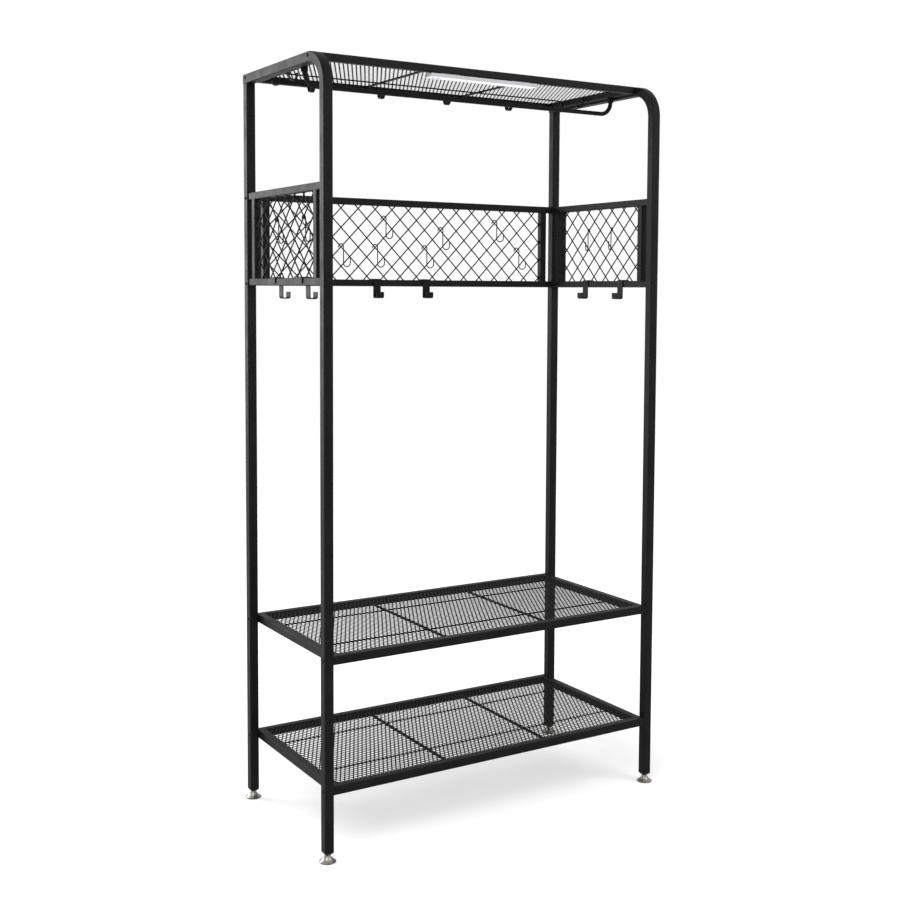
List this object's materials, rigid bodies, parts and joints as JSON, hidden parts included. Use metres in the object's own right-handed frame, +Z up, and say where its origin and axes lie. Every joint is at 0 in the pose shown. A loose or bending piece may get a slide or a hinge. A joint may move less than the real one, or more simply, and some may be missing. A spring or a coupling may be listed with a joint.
{
  "type": "entryway storage rack",
  "caption": "Free-standing black steel hall rack with mesh shelves, wire-lattice hook panels, loose hooks, a garment rod and a slim light bar under the top.",
  "frame": {"origin": "middle of the rack's footprint, on the floor", "axes": "+X to the rack's right as seen from its front, +Y to its back, +Z up"},
  "size_m": [1.058, 0.513, 1.99],
  "materials": {
    "black_coat": "fine-textured satin black powder coat",
    "chrome": "bright plated steel",
    "black_plastic": "moulded black",
    "plain_steel": "zinc-plated steel",
    "grey_plastic": "light grey moulded plastic",
    "white_lens": "frosted white, lit from behind",
    "board_green": "solder mask",
    "battery_wrap": "foil pouch cell"
  },
  "bodies": {
    "rack": {"front_left_lower_post": "black_coat", "front_right_lower_post": "black_coat", "rear_left_lower_post": "black_coat", "rear_right_lower_post": "black_coat", "front_left_upper_post": "black_coat", "front_right_upper_post": "black_coat", "rear_left_upper_post": "black_coat", "rear_right_upper_post": "black_coat", "left_top_rail": "black_coat", "right_top_rail": "black_coat", "splice_sleeves": "plain_steel", "rail_end_caps": "black_plastic", "top_shelf_frame": "black_coat", "top_shelf_mesh": "black_coat", "middle_shelf_frame": "black_coat", "middle_shelf_mesh": "black_coat", "bottom_shelf_frame": "black_coat", "bottom_shelf_mesh": "black_coat", "back_panel_frame": "black_coat", "back_panel_lattice": "black_coat", "left_panel_frame": "black_coat", "left_panel_lattice": "black_coat", "right_panel_frame": "black_coat", "right_panel_lattice": "black_coat", "rear_rail_hooks": "black_coat", "side_rail_hooks": "black_coat", "garment_rod": "black_coat", "rod_sockets": "black_plastic", "frame_bolts": "plain_steel", "threaded_inserts": "plain_steel", "light_housing": "grey_plastic", "light_diffuser": "white_lens", "light_board": "board_green", "light_battery": "battery_wrap", "light_sensor": "white_lens", "light_magnets": "plain_steel", "leg_plugs": "black_plastic"},
    "front_left_foot": {"front_left_foot": "chrome"},
    "front_right_foot": {"front_right_foot": "chrome"},
    "rear_left_foot": {"rear_left_foot": "chrome"},
    "rear_right_foot": {"rear_right_foot": "chrome"},
    "back_strip_hook_1": {"back_strip_hook_1": "black_coat"},
    "back_strip_hook_2": {"back_strip_hook_2": "black_coat"},
    "left_strip_hook_1": {"left_strip_hook_1": "black_coat"},
    "left_strip_hook_2": {"left_strip_hook_2": "black_coat"},
    "right_strip_hook_1": {"right_strip_hook_1": "black_coat"},
    "right_strip_hook_2": {"right_strip_hook_2": "black_coat"},
    "back_wire_hook_1": {"back_wire_hook_1": "black_coat"},
    "back_wire_hook_2": {"back_wire_hook_2": "black_coat"},
    "back_wire_hook_3": {"back_wire_hook_3": "black_coat"},
    "back_wire_hook_4": {"back_wire_hook_4": "black_coat"},
    "back_wire_hook_5": {"back_wire_hook_5": "black_coat"},
    "back_wire_hook_6": {"back_wire_hook_6": "black_coat"},
    "back_wire_hook_7": {"back_wire_hook_7": "black_coat"},
    "left_wire_hook_1": {"left_wire_hook_1": "black_coat"},
    "left_wire_hook_2": {"left_wire_hook_2": "black_coat"},
    "right_wire_hook_1": {"right_wire_hook_1": "black_coat"},
    "right_wire_hook_2": {"right_wire_hook_2": "black_coat"},
    "light_button": {"light_button": "grey_plastic"}
  },
  "joints": [
    {"name": "front_left_foot_screw", "type": "slide", "parent": "rack", "child": "front_left_foot", "axis": [0, 0, -1], "range_m": [0, 0.015]},
    {"name": "front_right_foot_screw", "type": "slide", "parent": "rack", "child": "front_right_foot", "axis": [0, 0, -1], "range_m": [0, 0.015]},
    {"name": "rear_left_foot_screw", "type": "slide", "parent": "rack", "child": "rear_left_foot", "axis": [0, 0, -1], "range_m": [0, 0.015]},
    {"name": "rear_right_foot_screw", "type": "slide", "parent": "rack", "child": "rear_right_foot", "axis": [0, 0, -1], "range_m": [0, 0.015]},
    {"name": "back_wire_hook_1_swing", "type": "hinge", "parent": "rack", "child": "back_wire_hook_1", "pos_m": [-0.2327, 0.235, 1.536], "axis": [-0.829, -0.5592, 0], "range_deg": [0, 45]},
    {"name": "back_wire_hook_2_swing", "type": "hinge", "parent": "rack", "child": "back_wire_hook_2", "pos_m": [-0.1235, 0.235, 1.536], "axis": [-0.829, -0.5592, 0], "range_deg": [0, 45]},
    {"name": "back_wire_hook_3_swing", "type": "hinge", "parent": "rack", "child": "back_wire_hook_3", "pos_m": [-0.0962, 0.235, 1.6179], "axis": [-0.829, -0.5592, 0], "range_deg": [0, 45]},
    {"name": "back_wire_hook_4_swing", "type": "hinge", "parent": "rack", "child": "back_wire_hook_4", "pos_m": [0.0403, 0.235, 1.536], "axis": [-0.829, -0.5592, 0], "range_deg": [0, 45]},
    {"name": "back_wire_hook_5_swing", "type": "hinge", "parent": "rack", "child": "back_wire_hook_5", "pos_m": [0.0949, 0.235, 1.5906], "axis": [-0.829, -0.5592, 0], "range_deg": [0, 45]},
    {"name": "back_wire_hook_6_swing", "type": "hinge", "parent": "rack", "child": "back_wire_hook_6", "pos_m": [0.286, 0.235, 1.6179], "axis": [-0.829, -0.5592, 0], "range_deg": [0, 45]},
    {"name": "back_wire_hook_7_swing", "type": "hinge", "parent": "rack", "child": "back_wire_hook_7", "pos_m": [0.3679, 0.235, 1.536], "axis": [-0.829, -0.5592, 0], "range_deg": [0, 45]},
    {"name": "left_wire_hook_1_swing", "type": "hinge", "parent": "rack", "child": "left_wire_hook_1", "pos_m": [-0.5075, 0.0546, 1.5906], "axis": [0.5592, -0.829, 0], "range_deg": [0, 45]},
    {"name": "left_wire_hook_2_swing", "type": "hinge", "parent": "rack", "child": "left_wire_hook_2", "pos_m": [-0.5075, -0.1092, 1.5906], "axis": [0.5592, -0.829, 0], "range_deg": [0, 45]},
    {"name": "right_wire_hook_1_swing", "type": "hinge", "parent": "rack", "child": "right_wire_hook_1", "pos_m": [0.5075, 0.0546, 1.5906], "axis": [-0.5592, 0.829, 0], "range_deg": [0, 45]},
    {"name": "right_wire_hook_2_swing", "type": "hinge", "parent": "rack", "child": "right_wire_hook_2", "pos_m": [0.5075, -0.0546, 1.5906], "axis": [-0.5592, 0.829, 0], "range_deg": [0, 45]},
    {"name": "back_strip_hook_1_lift", "type": "slide", "parent": "rack", "child": "back_strip_hook_1", "axis": [0, 0, 1], "range_m": [0, 0.012]},
    {"name": "back_strip_hook_2_lift", "type": "slide", "parent": "rack", "child": "back_strip_hook_2", "axis": [0, 0, 1], "range_m": [0, 0.012]},
    {"name": "left_strip_hook_1_lift", "type": "slide", "parent": "rack", "child": "left_strip_hook_1", "axis": [0, 0, 1], "range_m": [0, 0.012]},
    {"name": "left_strip_hook_2_lift", "type": "slide", "parent": "rack", "child": "left_strip_hook_2", "axis": [0, 0, 1], "range_m": [0, 0.012]},
    {"name": "right_strip_hook_1_lift", "type": "slide", "parent": "rack", "child": "right_strip_hook_1", "axis": [0, 0, 1], "range_m": [0, 0.012]},
    {"name": "right_strip_hook_2_lift", "type": "slide", "parent": "rack", "child": "right_strip_hook_2", "axis": [0, 0, 1], "range_m": [0, 0.012]},
    {"name": "light_button_press", "type": "slide", "parent": "rack", "child": "light_button", "axis": [0, 0, 1], "range_m": [0, 0.0008], "stiffness_N_per_m": 600, "springref_m": -0.0005}
  ]
}
